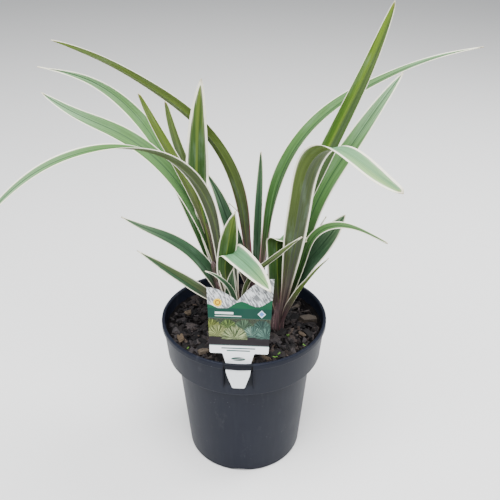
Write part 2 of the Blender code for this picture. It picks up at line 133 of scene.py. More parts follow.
class Finish:
    # One material: its nodes are added by kind, and its shader's fixed values are set on the sockets.
    def __init__(self, name, **fixed):
        self.material = bpy.data.materials.new(name)
        self.material.use_nodes = True
        self.tree = self.material.node_tree
        self.shader = self.tree.nodes["Principled BSDF"]
        for socket, value in fixed.items():
            self.shader.inputs[socket.replace("_", " ").title().replace("Ior", "IOR")].default_value = value

    def fill(self, socket, value):
        if isinstance(value, Pattern):
            self.tree.links.new(value.socket, socket)
        elif isinstance(value, (tuple, list)) and len(value) == 3 and len(socket.default_value) == 4:
            socket.default_value = (*value, 1.0)
        else:
            socket.default_value = value

    def node(self, kind, settings=None, values=None, output=0):
        made = self.tree.nodes.new(kind)
        for key, value in (settings or {}).items():
            setattr(made, key, value)
        for key, value in (values or {}).items():
            self.fill(made.inputs[key], value)
        return Pattern(self, made.outputs[output])

    def object_place(self):
        return self.node("ShaderNodeTexCoord", output="Object")

    def parts_of(self, vector):
        return [self.node("ShaderNodeSeparateXYZ", values={0: vector}, output=axis) for axis in "XYZ"]

    def point(self, x=0.0, y=0.0, z=0.0):
        return self.node("ShaderNodeCombineXYZ", values={0: x, 1: y, 2: z})

    def stretched(self, vector, x, y, z):
        by = self.point(x, y, z)
        return self.node("ShaderNodeVectorMath", {"operation": "MULTIPLY"}, {0: vector, 1: by})

    def cloud(self, vector, scale, detail=2.0, roughness=0.5):
        values = {"Vector": vector, "Scale": scale, "Detail": detail, "Roughness": roughness}
        return self.node("ShaderNodeTexNoise", values=values)

    def mix(self, share, first, second, blend="MIX"):
        # The colour sockets of this node come after its number and vector sockets.
        settings = {"data_type": "RGBA", "blend_type": blend}
        return self.node("ShaderNodeMix", settings, {0: share, 6: first, 7: second}, output=2)

    def cover(self, colour, roughness, height, depth):
        # The height is the surface's fine relief, and depth is how deep it goes, in metres.
        self.fill(self.shader.inputs["Base Color"], colour)
        self.fill(self.shader.inputs["Roughness"], roughness)
        values = {"Height": height, "Distance": depth, "Strength": 1.0}
        self.fill(self.shader.inputs["Normal"], self.node("ShaderNodeBump", values=values))
        return self.material


def pick(item):
    # Selects one object alone and makes it the active one.
    bpy.ops.object.select_all(action="DESELECT")
    item.select_set(True)
    bpy.context.view_layer.objects.active = item


def settle(item):
    # Moves an object's place, turn and size into its mesh.
    pick(item)
    bpy.ops.object.transform_apply(location=True, rotation=True, scale=True)


def face_outwards(item, weld=0.0):
    # Turns a mesh's faces outwards, after merging corners that lie closer together than weld.
    pick(item)
    bpy.ops.object.mode_set(mode="EDIT")
    bpy.ops.mesh.select_all(action="SELECT")
    if weld:
        bpy.ops.mesh.remove_doubles(threshold=weld)
    bpy.ops.mesh.normals_make_consistent(inside=False)
    bpy.ops.object.mode_set(mode="OBJECT")


def joined(name, items):
    # Joins objects into one, under a new name.
    bpy.ops.object.select_all(action="DESELECT")
    for item in items:
        item.select_set(True)
    bpy.context.view_layer.objects.active = items[0]
    bpy.ops.object.join()
    whole = bpy.context.object
    whole.name = name
    settle(whole)
    return whole


def rounded(profile, radii, pieces=4):
    # Replaces each corner of a profile by a short arc of the radius given for it.
    out = [profile[0]]
    for before, corner, after, radius in zip(profile, profile[1:], profile[2:], radii):
        back = Vector(before) - Vector(corner)
        ahead = Vector(after) - Vector(corner)
        reach = min(radius, back.length * 0.45, ahead.length * 0.45)
        first = Vector(corner) + back.normalized() * reach
        last = Vector(corner) + ahead.normalized() * reach
        for step in range(pieces + 1):
            share = step / pieces
            between = first.lerp(Vector(corner), share).lerp(Vector(corner).lerp(last, share), share)
            out.append((between.x, between.y))
    return out + [profile[-1]]


def turned(name, profile, steps):
    # Draws a profile of (radius, height) from one vertex by extruding it, and spins it about Z.
    bpy.ops.object.select_all(action="DESELECT")
    bpy.ops.mesh.primitive_plane_add(size=0.01)
    item = bpy.context.object
    item.name = name
    bpy.ops.object.mode_set(mode="EDIT")
    bpy.ops.mesh.select_all(action="SELECT")
    bpy.ops.mesh.merge(type="CENTER")
    bpy.ops.transform.translate(value=(profile[0][0], 0, profile[0][1]))
    for (radius, height), (next_radius, next_height) in zip(profile, profile[1:]):
        step = (next_radius - radius, 0, next_height - height)
        bpy.ops.mesh.extrude_vertices_move(TRANSFORM_OT_translate={"value": step})
    bpy.ops.mesh.select_all(action="SELECT")
    bpy.ops.mesh.spin(steps=steps, angle=2 * math.pi, center=(0, 0, 0), axis=(0, 0, 1))
    bpy.ops.object.mode_set(mode="OBJECT")
    face_outwards(item, 0.00001)
    return item


def cut(item, tool, operation="DIFFERENCE"):
    # Cuts another object out of this one, or joins it on, and removes it.
    settle(tool)
    pick(item)
    step = item.modifiers.new("cut", "BOOLEAN")
    step.operation = operation
    step.solver = "EXACT"
    step.object = tool
    bpy.ops.object.modifier_apply(modifier="cut")
    bpy.data.objects.remove(tool)


POT_WALL = 0.0014


def body_radius(height):
    return 0.0502 + 0.0083 * height / 0.100


def collar_radius(height):
    return 0.0660 + 0.0026 * (height - 0.100) / 0.028


# Each corner of the wall's section is its radius, its height and how round it is.
pot_corners = [
    (0.0, POT_WALL, 0), (0.0356, POT_WALL, 0.001), (0.0370, 0.0047, 0.001),
    (body_radius(0.0047) - POT_WALL, 0.0047, 0.001), (body_radius(0.1014) - POT_WALL, 0.1014, 0.001),
    (collar_radius(0.1014) - POT_WALL, 0.1014, 0.0015), (0.0686 - POT_WALL, 0.1280, 0.001),
    (0.0672, 0.1330, 0.0012), (0.0700, 0.1330, 0.0011), (0.0700, 0.1280, 0.0008),
    (0.0686, 0.1277, 0.0005), (0.0660, 0.1000, 0.0009), (0.0585, 0.1000, 0.0012),
    (0.0502, 0.0012, 0.0010), (0.0492, 0.0, 0.0006), (0.0475, 0.0, 0.0004), (0.0475, 0.0033, 0.0005),
    (0.0384, 0.0033, 0.0008), (0.0370, 0.0, 0.0008), (0.0, 0.0, 0)]
pot_profile = rounded([corner[:2] for corner in pot_corners], [corner[2] for corner in pot_corners[1:-1]])
pot = turned("nursery_pot_shell", pot_profile, 200)

RIB_ACROSS = 0.0118
RIB_Y = -0.0672
for side in (-1, 1):
    # A rib's inner edge follows the middle of the tapered wall.
    bpy.ops.mesh.primitive_cube_add(size=1, location=(side * RIB_ACROSS, RIB_Y, 0.1195))
    rib = bpy.context.object
    rib.scale = (0.0011, 0.0034, 0.0190)
    settle(rib)
    for corner in rib.data.vertices:
        if corner.co.y > RIB_Y:
            corner.co.y = -math.sqrt((collar_radius(corner.co.z) - POT_WALL / 2) ** 2 - RIB_ACROSS ** 2)
        else:
            corner.co.y = -math.sqrt(0.0697 ** 2 - RIB_ACROSS ** 2)
    cut(pot, rib, "UNION")

bpy.ops.mesh.primitive_cube_add(size=1, location=(0, -0.0662, 0.1284))
slot = bpy.context.object
slot.scale = (0.0228, 0.0060, 0.0058)
cut(pot, slot)
DRAIN_HOLES = 8
DRAIN_RING = 0.04225
for count in range(DRAIN_HOLES):
    angle = 2 * math.pi * (count + 0.5) / DRAIN_HOLES
    bpy.ops.mesh.primitive_cylinder_add(
        vertices=32, radius=0.003, depth=0.008,
        location=(DRAIN_RING * math.cos(angle), DRAIN_RING * math.sin(angle), 0.0033))
    cut(pot, bpy.context.object)
ARCH_RING = 0.04885
ARCH_RADIUS = 0.0218
for count in range(4):
    angle = math.pi / 2 * count
    bpy.ops.mesh.primitive_cylinder_add(
        vertices=160, radius=ARCH_RADIUS, depth=0.008,
        location=(ARCH_RING * math.cos(angle), ARCH_RING * math.sin(angle), 0.0027 - ARCH_RADIUS),
        rotation=(math.pi / 2, 0, angle + math.pi / 2))
    cut(pot, bpy.context.object)
pick(pot)
bpy.ops.object.shade_smooth_by_angle(angle=math.radians(40))

pot_plastic = Finish("pot_plastic_worn", specular_ior_level=0.11)
place = pot_plastic.object_place()
x, y, height = pot_plastic.parts_of(place)
tone = pot_plastic.cloud(place, 22, detail=3)
streak = pot_plastic.cloud(pot_plastic.stretched(place, 260, 260, 9), 1.0, detail=2)
scuff = pot_plastic.cloud(pot_plastic.stretched(place, 90, 90, 40), 1.0, detail=6, roughness=0.7)
speck = pot_plastic.node("ShaderNodeTexVoronoi", {"feature": "F1"}, {"Vector": place, "Scale": 330})
speck_size = pot_plastic.cloud(place, 48, detail=1)
specks = speck.ease(0.17, 0.07) * speck_size.ease(0.60, 0.72)
dust = (scuff.ease(0.56, 0.78) * 0.30 + specks * 0.7).below(1.0)
colour = pot_plastic.mix(tone, (0.0068, 0.0086, 0.0155), (0.0108, 0.0130, 0.0225))
colour = pot_plastic.mix(streak.ease(0.45, 0.75) * 0.25, colour, (0.016, 0.019, 0.028))
colour = pot_plastic.mix(dust * 0.38, colour, (0.20, 0.20, 0.21))
# Painted shade: the collar between the two ribs, under the slot, is darkened where the ribs and the label's
# tongue shade it.
painted_rib_shade = x.size().ease(0.0124, 0.0116) * height.ease(0.109, 0.112) * y.ease(-0.060, -0.064)
colour = pot_plastic.mix(painted_rib_shade * 0.6, colour, (0.0025, 0.0030, 0.0050))
grain = pot_plastic.cloud(place, 900, detail=3)
pot_plastic.cover(colour, 0.40 + scuff * 0.12 + dust * 0.25, grain * 0.35 + streak * 0.4 + specks, 0.00006)
pot.data.materials.append(pot_plastic.material)
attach(pot, "root")
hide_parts("nursery_pot")


# The bark mix: a plug of damp composted bark that fills the pot to 12 mm under the rim. Its top is
# crumbly and uneven, and it rises a little towards the pot's wall.
SOIL_Z = 0.1205
SOIL_RINGS = 52
top_rings = [(0.0666 * ring / SOIL_RINGS, SOIL_Z) for ring in range(SOIL_RINGS + 1)]
soil_corners = [
    (0.0650, 0.1022), (0.0567, 0.1020), (0.0490, 0.0052),
    (0.0366, 0.0050), (0.0350, 0.0018), (0.0, 0.0018)]
soil = turned("bark_mix_bed", top_rings + soil_corners, 190)


def crumble(x, y):
    # The height of the mix's top at a place: slow swells with crumbs of three sizes on them.
    here = Vector((x, y, 0.0))
    height = 0.0011 * noise.noise(here * 45)
    for size, grit in ((150, 0.0012), (330, 0.0010), (800, 0.0005)):
        height += grit * (0.5 - abs(noise.noise(here * size + Vector((3.1, 1.7, size)))))
    return SOIL_Z + height - 0.0012


# The crumbs' sideways shake comes from a fixed seed, so that the mix is the same each time.
noise.seed_set(5)
for corner in soil.data.vertices:
    if corner.co.z > SOIL_Z - 0.0001:
        across = math.hypot(corner.co.x, corner.co.y)
        corner.co.z = crumble(corner.co.x, corner.co.y) + 0.002 * max(across - 0.060, 0.0) / 0.0066
        shake = noise.noise_vector(corner.co * 500) * 0.0004 * min(1.0, (0.0664 - across) / 0.004)
        corner.co.x += shake.x
        corner.co.y += shake.y
pick(soil)
bpy.ops.object.shade_smooth_by_angle(angle=math.radians(60))

mix_finish = Finish("damp_bark_mix", specular_ior_level=0.08)
place = mix_finish.object_place()
crumbs = mix_finish.node("ShaderNodeTexVoronoi", {"feature": "F1"}, {"Vector": place, "Scale": 420})
fibre = mix_finish.cloud(place, 700, detail=5, roughness=0.7)
patch = mix_finish.cloud(place, 90, detail=3)
colour = mix_finish.mix(patch.ease(0.35, 0.7), (0.0022, 0.0018, 0.0020), (0.0055, 0.0045, 0.0045))
colour = mix_finish.mix(fibre.ease(0.62, 0.82) * 0.3, colour, (0.030, 0.023, 0.019))
mix_finish.cover(colour, 0.88 - patch * 0.15, fibre + crumbs * 0.8, 0.0006)
soil.data.materials.append(mix_finish.material)
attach(soil, "root")
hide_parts("bark_mix")


# Loose bark chips on top of the mix: flat splintered flakes, 2 to 13 mm long. Most are nearly black from
# the damp, and a few are brown. They leave the four shoots' places free.
SHOOT_PLACES = {
    "left": (-0.014, 0.010), "back": (0.008, 0.034), "front": (-0.002, -0.011), "right": (0.0285, 0.0)}
CHIPS_EDGE = 0.0655


def flake_mesh(name, seed):
    # A cube is cut finer and shaken hard. The hull round its corners then has flat broken faces.
    bpy.ops.mesh.primitive_cube_add(size=1)
    flake = bpy.context.object
    flake.name = name
    bpy.ops.object.mode_set(mode="EDIT")
    bpy.ops.mesh.select_all(action="SELECT")
    bpy.ops.mesh.subdivide(number_cuts=1)
    bpy.ops.object.mode_set(mode="OBJECT")
    shake = random.Random(seed)
    for corner in flake.data.vertices:
        corner.co.y *= 1.0 - 0.35 * abs(corner.co.x) * shake.random() * 2
        corner.co += Vector((
            shake.uniform(-0.16, 0.16), shake.uniform(-0.20, 0.20), shake.uniform(-0.24, 0.24)))
    bpy.ops.object.mode_set(mode="EDIT")
    bpy.ops.mesh.select_all(action="SELECT")
    bpy.ops.mesh.convex_hull()
    bpy.ops.object.mode_set(mode="OBJECT")
    face_outwards(flake)
    return flake


flakes = [flake_mesh(f"flake_{count}", count + 1) for count in range(9)]


def lay_chips(name, chips, finish):
    # Copies flakes to their places and joins them. A chip's tone and its hue, which goes by its number,
    # are kept in its map and are the same all over it.
    copies = []
    for count, (x, y, lift, length, width, depth, turn, tilt, roll, tone) in enumerate(chips):
        source = flakes[count % len(flakes)]
        chip = bpy.data.objects.new(f"{name}_{count}", source.data.copy())
        bpy.context.scene.collection.objects.link(chip)
        chip.location = (x, y, crumble(x, y) + lift)
        chip.rotation_euler = (tilt, roll, turn)
        chip.scale = (length, width, depth)
        layer = chip.data.uv_layers.new(name="tone")
        hue = (count * 0.37) % 1.0
        layer.data.foreach_set("uv", [tone, hue] * len(chip.data.loops))
        copies.append(chip)
    layer_of_chips = joined(name, copies)
    layer_of_chips.data.materials.clear()
    layer_of_chips.data.materials.append(finish)
    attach(layer_of_chips, "root")


def bark_finish(name, dark, middle, pale, roughness):
    made = Finish(name, specular_ior_level=0.22)
    place = made.object_place()
    own = made.node("ShaderNodeUVMap", {"uv_map": "tone"})
    tone, hue = made.parts_of(own)[:2]
    layers = made.cloud(made.stretched(place, 500, 1300, 1300), 1.0, detail=4, roughness=0.65)
    warm = made.mix(hue, (0.94, 0.99, 1.10), (1.06, 0.98, 0.90))
    colour = made.mix(tone, dark, middle)
    colour = made.mix(layers.ease(0.48, 0.75) * tone, colour, pale)
    colour = made.mix(1.0, colour, warm, blend="MULTIPLY")
    return made.cover(colour, roughness - tone * 0.1, layers, 0.0005)


dark_bark = bark_finish(
    "dark_bark", (0.0024, 0.0022, 0.0028), (0.027, 0.022, 0.022), (0.090, 0.071, 0.064), 0.72)
brown_bark = bark_finish(
    "brown_bark", (0.014, 0.010, 0.009), (0.055, 0.040, 0.032), (0.120, 0.090, 0.070), 0.8)
draw = random.Random(11)


def scatter(many, low, high, spread, lift):
    # Chips low to high long, tipped by about spread, in radians, with their middles up to lift high.
    chips = []
    while len(chips) < many:
        across = CHIPS_EDGE * math.sqrt(draw.random())
        angle = draw.uniform(0, 2 * math.pi)
        x, y = across * math.cos(angle), across * math.sin(angle)
        length = draw.uniform(low, high)
        if across + length * 0.5 > CHIPS_EDGE:
            continue
        if min(math.hypot(x - a, y - b) for a, b in SHOOT_PLACES.values()) < 0.006 + length * 0.3:
            continue
        chips.append((
            x, y, draw.uniform(0.0, lift), length, length * draw.uniform(0.35, 0.75),
            length * draw.uniform(0.12, 0.34), draw.uniform(0, 2 * math.pi), draw.gauss(0, spread),
            draw.gauss(0, spread), draw.random() ** 2.0))
    return chips


lay_chips("small_bark_chips", scatter(1500, 0.0016, 0.0050, 0.8, 0.0030), dark_bark)
lay_chips("dark_bark_chips", scatter(210, 0.0055, 0.0125, 0.45, 0.0018), dark_bark)
lay_chips("brown_bark_chips", scatter(46, 0.0035, 0.0085, 0.5, 0.0024), brown_bark)


# Dry bits lying on the mix: one large worn nugget and seven tan splinters. They are broken pieces like
# the chips, only dry. A row is a bit's place, lift, length, width, depth, turn, tilt, roll and tone.
dry_bark = bark_finish(
    "dry_bark", (0.030, 0.024, 0.021), (0.082, 0.061, 0.041), (0.165, 0.125, 0.082), 0.85)
dry_places = [
    (0.0556, 0.0080, 0.0030, 0.0125, 0.0085, 0.0065, 0.4, 0.1, 0.1, 0.35),
    (-0.0488, 0.0136, 0.0034, 0.0120, 0.0042, 0.0016, 1.1, 0.5, 0.3, 0.9),
    (-0.0515, -0.0236, 0.0034, 0.0105, 0.0050, 0.0018, 1.9, -0.5, 0.2, 0.8),
    (-0.0298, -0.0397, 0.0030, 0.0090, 0.0042, 0.0018, 0.7, 0.2, 0.2, 0.8),
    (0.0122, -0.0502, 0.0028, 0.0085, 0.0045, 0.0020, 0.4, 0.1, 0.3, 0.5),
    (0.0205, -0.0460, 0.0026, 0.0080, 0.0036, 0.0018, -0.3, 0.1, 0.2, 0.4),
    (0.0440, 0.0290, 0.0028, 0.0090, 0.0030, 0.0016, 0.9, 0.2, 0.1, 0.3),
    (0.0500, -0.0120, 0.0026, 0.0070, 0.0035, 0.0015, 2.2, 0.2, 0.1, 0.5)]
lay_chips("dry_bark_bits", dry_places, dry_bark)
for flake in flakes:
    bpy.data.objects.remove(flake)


# Seedlings: five tiny weeds have come up in the mix, each a short stalk with two cupped leaflets. One
# leaflet is a small ball pressed flat and cupped, and all of them are copies of it.
bpy.ops.mesh.primitive_uv_sphere_add(segments=16, ring_count=8, radius=0.5)
leaflet = bpy.context.object
leaflet.name = "seedling_leaflet"
face_outwards(leaflet)
for corner in leaflet.data.vertices:
    x, y, z = corner.co
    corner.co = (x + 0.5, y * (0.72 - 0.35 * x), z * 0.10 + 0.55 * y * y + 0.22 * (x + 0.5) ** 2)
made = Finish("seedling_green", specular_ior_level=0.3)
grain = made.cloud(made.object_place(), 900, detail=2)
green = made.mix(grain, (0.050, 0.130, 0.018), (0.110, 0.230, 0.035))
seedling_finish = made.cover(green, 0.5, grain, 0.0001)
sprouts = []
seedling_rows = [
    (0.0280, -0.0461, 0.0022, 0.0022), (0.0311, -0.0421, 0.0026, 0.0019),
    (0.0514, -0.0289, 0.0022, 0.0017), (0.0380, -0.0144, 0.0020, 0.0014),
    (-0.0435, -0.0374, 0.0022, 0.0015)]
for count, (x, y, tall, wide) in enumerate(seedling_rows):
    foot = crumble(x, y)
    bpy.ops.mesh.primitive_cylinder_add(vertices=10, radius=0.00025, depth=tall + 0.003)
    stalk = bpy.context.object
    stalk.location = (x, y, foot + tall / 2)
    sprouts.append(stalk)
    for turn in (0.0, math.pi):
        half = bpy.data.objects.new("half", leaflet.data.copy())
        bpy.context.scene.collection.objects.link(half)
        half.location = (x, y, foot + tall + 0.0014)
        half.rotation_euler = (0, 0, count * 1.1 + turn)
        half.scale = (wide, wide, wide)
        sprouts.append(half)
bpy.data.objects.remove(leaflet)
seedlings = joined("weed_seedlings", sprouts)
bpy.ops.object.shade_smooth_by_angle(angle=math.radians(40))
seedlings.data.materials.clear()
seedlings.data.materials.append(seedling_finish)
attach(seedlings, "root")


# The plant label: a die-cut plastic sheet, printed in front and white behind, with a notched top of two
# lobes. Its narrow neck bends out through the slot, and the blunt tongue hangs against the collar.
# A point of its outline is (across, along the sheet from the slot).
label_points = [
    (0.0052, -0.0226), (0.0090, -0.0100), (0.0098, -0.0050), (0.0098, 0.0010), (0.0122, 0.0088),
    (0.0132, 0.0094), (0.0222, 0.0093), (0.0231, 0.0102)]
right_corner = (0.0264, 0.0704)
left_corner = (-0.0243, 0.0625)
notch = (-0.0011, 0.0517)
LOBE_STEPS = 16
for step in range(LOBE_STEPS):
    share = step / LOBE_STEPS
    across = right_corner[0] + (notch[0] - right_corner[0]) * share
    label_points.append((across, notch[1] + (right_corner[1] - notch[1]) * (1 - share ** 2.1)))
for step in range(LOBE_STEPS + 1):
    share = step / LOBE_STEPS
    across = notch[0] + (left_corner[0] - notch[0]) * share
    label_points.append((across, left_corner[1] - (left_corner[1] - notch[1]) * (1 - share) ** 1.9))
label_points += [
    (-0.0220, 0.0100), (-0.0211, 0.0091), (-0.0130, 0.0092), (-0.0120, 0.0086), (-0.0098, 0.0010),
    (-0.0096, -0.0050), (-0.0088, -0.0100), (-0.0050, -0.0226), (-0.0044, -0.0234), (-0.0036, -0.0236),
    (0.0038, -0.0236), (0.0046, -0.0234)]

label_curve = bpy.data.curves.new("label_outline", "CURVE")
label_curve.dimensions = "2D"
label_curve.fill_mode = "BOTH"
outline = label_curve.splines.new("POLY")
outline.points.add(len(label_points) - 1)
for knot, (across, along) in zip(outline.points, label_points):
    knot.co = (across, along, 0, 1)
outline.use_cyclic_u = True
label = bpy.data.objects.new("printed_plant_label", label_curve)
bpy.context.scene.collection.objects.link(label)
pick(label)
bpy.ops.object.convert(target="MESH")
label = bpy.context.object
# The sheet is cut into strips across, closer together where it bends.
strip_edges = [-0.0200 + 0.0010 * step for step in range(30)]
strip_edges += [0.012 + 0.004 * step for step in range(15)]
bpy.ops.object.mode_set(mode="EDIT")
for along in strip_edges:
    bpy.ops.mesh.select_all(action="SELECT")
    bpy.ops.mesh.bisect(plane_co=(0, along, 0), plane_no=(0, 1, 0))
bpy.ops.object.mode_set(mode="OBJECT")
face_outwards(label, 0.000005)
print_map = label.data.uv_layers.new(name="print")
for loop in label.data.loops:
    across, along = label.data.vertices[loop.vertex_index].co.xy
    print_map.data[loop.index].uv = (across * 1000, along * 1000)
LABEL_LEAN = math.radians(12.5)
SLOT_SLOPE = math.radians(32)
SOFT_SHIFTS = (-0.0016, -0.0008, 0.0, 0.0008, 0.0016)


def label_bend(along):
    # The sheet's (y, z) from the length along it: above the slot, through it, and down the collar.
    slot_y, slot_z, passing = -0.0664, 0.1313, 0.0050
    if along >= 0:
        return slot_y + along * math.sin(LABEL_LEAN), slot_z + along * math.cos(LABEL_LEAN)
    if along >= -passing:
        return slot_y + along * math.sin(SLOT_SLOPE), slot_z + along * math.cos(SLOT_SLOPE)
    down = -passing - along
    end_y = slot_y - passing * math.sin(SLOT_SLOPE)
    end_z = slot_z - passing * math.cos(SLOT_SLOPE)
    return end_y + down * 0.0026 / 0.028, end_z - down


for corner in label.data.vertices:
    along = corner.co.y
    near = [label_bend(along + shift) for shift in SOFT_SHIFTS]
    corner.co.y = sum(pair[0] for pair in near) / len(near)
    corner.co.z = sum(pair[1] for pair in near) / len(near)
face_outwards(label)
if label.data.polygons[0].normal.y > 0:
    label.data.flip_normals()
sheet = label.modifiers.new("sheet", "SOLIDIFY")
sheet.thickness = 0.0004
sheet.offset = 0.0
sheet.material_offset = 1
sheet.material_offset_rim = 1
bpy.ops.object.modifier_apply(modifier="sheet")
bpy.ops.object.shade_smooth_by_angle(angle=math.radians(30))

print_finish = Finish("label_print", specular_ior_level=0.25)
across, along = print_finish.parts_of(print_finish.node("ShaderNodeUVMap", {"uv_map": "print"}))[:2]
flat_place = print_finish.point(across, along, 0.0)


def band(value, low, high, soft=0.12):
    # 1 between low and high, in mm on the sheet, and 0 outside them.
    return value.ease(low - soft, low + soft) * value.ease(high + soft, high - soft)


GREEN_INK = (0.0025, 0.042, 0.028)
slanting = print_finish.point(across + along * 0.6, along - across * 0.6, 0.0)
leaf_print = print_finish.cloud(print_finish.stretched(slanting, 0.75, 0.16, 1), 1.0, detail=3)
field = print_finish.mix(leaf_print.ease(0.44, 0.56), (0.16, 0.17, 0.18), (0.62, 0.64, 0.66))
hills = 49.0 + (across * 0.24 + 1.2).wave() * 2.6 + across * 0.10
colour = print_finish.mix(along.ease(46.1, 46.3), (0.84, 0.87, 0.90), field)
under_hills = (hills - along).ease(-0.15, 0.15) * along.ease(38.0, 38.2)
colour = print_finish.mix(under_hills, colour, (0.003, 0.070, 0.030))
colour = print_finish.mix(band(along, 38.1, 46.2), colour, GREEN_INK)


def printed_tuft(under, x, y, reach, dark, light, seed):
    # A tuft of strap leaves in the picture: strands that spread from a point at its foot.
    beside = across - x
    over = along - y
    turn = beside.sum_with("ARCTAN2", over)
    away = (beside * beside + over * over).sum_with("SQRT")
    strand = print_finish.cloud(print_finish.point(turn * 20.0, away * 0.10, seed), 1.0, detail=2)
    ends = print_finish.cloud(print_finish.point(turn * 13.0, seed, 0.0), 1.0, detail=2)
    shown = (away + ends * reach * 0.7).ease(reach * 1.28, reach * 1.18) * over.ease(-1.5, -0.5)
    tuft = print_finish.mix(strand.ease(0.46, 0.66), dark, light)
    return print_finish.mix(shown, under, tuft)


mottle = print_finish.cloud(flat_place, 1.3, detail=4)
grass = print_finish.mix(mottle.ease(0.35, 0.65), (0.010, 0.012, 0.012), (0.050, 0.065, 0.035))
grass = print_finish.mix((22.5 + mottle * 4.0 - along).ease(-0.8, 0.8), grass, (0.010, 0.007, 0.010))
tufts = (
    (-21, 30, 8, (0.020, 0.030, 0.005), (0.22, 0.26, 0.05), 1.0),
    (-8, 31, 7, (0.015, 0.030, 0.008), (0.16, 0.24, 0.06), 2.0),
    (4, 30, 8, (0.012, 0.025, 0.015), (0.10, 0.18, 0.10), 3.0),
    (18, 30, 8, (0.006, 0.020, 0.018), (0.06, 0.13, 0.10), 4.0),
    (-16, 24, 10, (0.030, 0.045, 0.012), (0.38, 0.42, 0.16), 5.0),
    (11, 24, 9, (0.010, 0.035, 0.030), (0.18, 0.30, 0.24), 6.0),
    (21, 23, 9, (0.008, 0.025, 0.022), (0.10, 0.20, 0.16), 7.0),
    (-3, 22, 11, (0.025, 0.045, 0.015), (0.46, 0.52, 0.26), 8.0))
for tuft in tufts:
    grass = printed_tuft(grass, *tuft)
colour = print_finish.mix(band(along, 16.2, 38.1), colour, grass)
rule = band(along, 15.6, 16.2, 0.06)
bars = (band(along, 13.0, 14.0, 0.06) * band(across, -13, 13)
        + band(along, 11.0, 12.0, 0.06) * band(across, -9, 9))
colour = print_finish.mix((bars + rule).below(1.0), colour, (0.010, 0.060, 0.048))
white_bars = (band(along, 41.4, 43.2, 0.08) * band(across, -18, -4)
              + band(along, 39.6, 40.2, 0.08) * band(across, -18, 2))
colour = print_finish.mix(white_bars.below(1.0) * 0.85, colour, (0.80, 0.82, 0.80))
oval = ((across * across) / 30.0 + (along - 4.6) * (along - 4.6) / 2.4).ease(1.06, 0.94)
disc = ((across + 16.0) * (across + 16.0) + (along - 50.6) * (along - 50.6)).sum_with("SQRT")
colour = print_finish.mix(disc.ease(3.35, 3.15), colour, (0.72, 0.48, 0.010))
colour = print_finish.mix(disc.ease(2.0, 1.85) * disc.ease(1.2, 1.35), colour, (0.20, 0.05, 0.02))
diamond = (across - 17.5).size() + (along - 42.1).size()
colour = print_finish.mix(diamond.ease(3.2, 3.0), colour, (0.62, 0.70, 0.80))
colour = print_finish.mix(diamond.ease(2.3, 2.1), colour, (0.10, 0.22, 0.52))
vein = oval * band(along - across * 0.12, 4.45, 4.75, 0.08)
colour = print_finish.mix(oval - vein, colour, GREEN_INK)
ripple = print_finish.cloud(flat_place, 0.12, detail=1)
print_finish.cover(colour, 0.30 + ripple * 0.1, ripple, 0.0006)

sheet_white = Finish("label_white", specular_ior_level=0.25)
place = sheet_white.object_place()
soil_smear = sheet_white.cloud(place, 60, detail=4)
colour = sheet_white.mix(soil_smear.ease(0.55, 0.8) * 0.25, (0.84, 0.89, 0.97), (0.50, 0.46, 0.42))
sheet_white.cover(colour, 0.36 + soil_smear * 0.15, soil_smear, 0.0002)
label.data.materials.append(print_finish.material)
label.data.materials.append(sheet_white.material)
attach(label, "root")
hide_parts("plant_label")


# The left fan of leaves: eight folded strap leaves, the longest arching far out over the pot's edge. A
# leaf is a waxy blade, about 0.3 mm thick, with a keel under its fold and a cream edge, and its foot
# clasps the flattened stem. It is a flat grid bent along the leaf's own line.

# A leaf sets out towards heading, lean degrees from upright, and bends until it lies nod degrees from
# upright. The bend's middle is at a share of its length, and soft is the share that it takes up. sweep
# turns it sideways as it goes, roll tips its face, twist tips it further through the bend, and tail bends
# its end. It is long and wide in mm, at its full width as far as that share, and point shapes the taper.
Leaf = namedtuple(
    "Leaf", "name heading lean nod at soft sweep long wide full roll twist tail point", defaults=(0, 0.9))
BLADE_STATIONS = 96
BLADE_ACROSS = 12
FOLD_PIECES = 6
LEAF_FOOT_Z = 0.119
TAIL_START = 0.72


def ease(start, end, value):
    share = min(max((value - start) / (end - start), 0.0), 1.0)
    return share * share * (3 - 2 * share)


def leaf_line(leaf, at):
    # Walks out along the leaf: its share, place, side direction and upper face direction at each station.
    heading = math.radians(leaf.heading)
    place = Vector((at[0] + 0.002 * math.cos(heading), at[1] + 0.002 * math.sin(heading), LEAF_FOOT_Z))
    stations = []
    for step in range(BLADE_STATIONS + 1):
        share = step / BLADE_STATIONS
        bend = ease(leaf.at - leaf.soft / 2, leaf.at + leaf.soft / 2, share)
        tail = leaf.tail * ease(TAIL_START, 1, share)
        slope = math.radians(leaf.lean + (leaf.nod - leaf.lean) * bend + tail)
        turn = heading + math.radians(leaf.sweep) * share
        out = Vector((math.sin(slope) * math.cos(turn), math.sin(slope) * math.sin(turn), math.cos(slope)))
        side = Vector((-math.sin(turn), math.cos(turn), 0.0))
        side = (side - out * side.dot(out)).normalized()
        side = Matrix.Rotation(math.radians(leaf.roll + leaf.twist * bend), 3, out) @ side
        stations.append((share, place.copy(), side, out.cross(side)))
        place += out * leaf.long / 1000 / BLADE_STATIONS
    return stations


def half_width(leaf, share):
    grown = 0.5 + 0.5 * ease(0.0, 0.4, share)
    past = min(max((share - leaf.full) / (1 - leaf.full), 0.0), 1.0)
    return max(leaf.wide / 1000 * grown * max(1 - past ** 1.8, 0.0) ** leaf.point, 0.0003) / 2


def fold_angle(share):
    # How far each half of the blade is folded up: nearly shut at its foot and open further out.
    closed = 76 - 54 * ease(0.0, 0.42, share)
    return math.radians(closed - 12 * ease(0.5, 1.0, share))


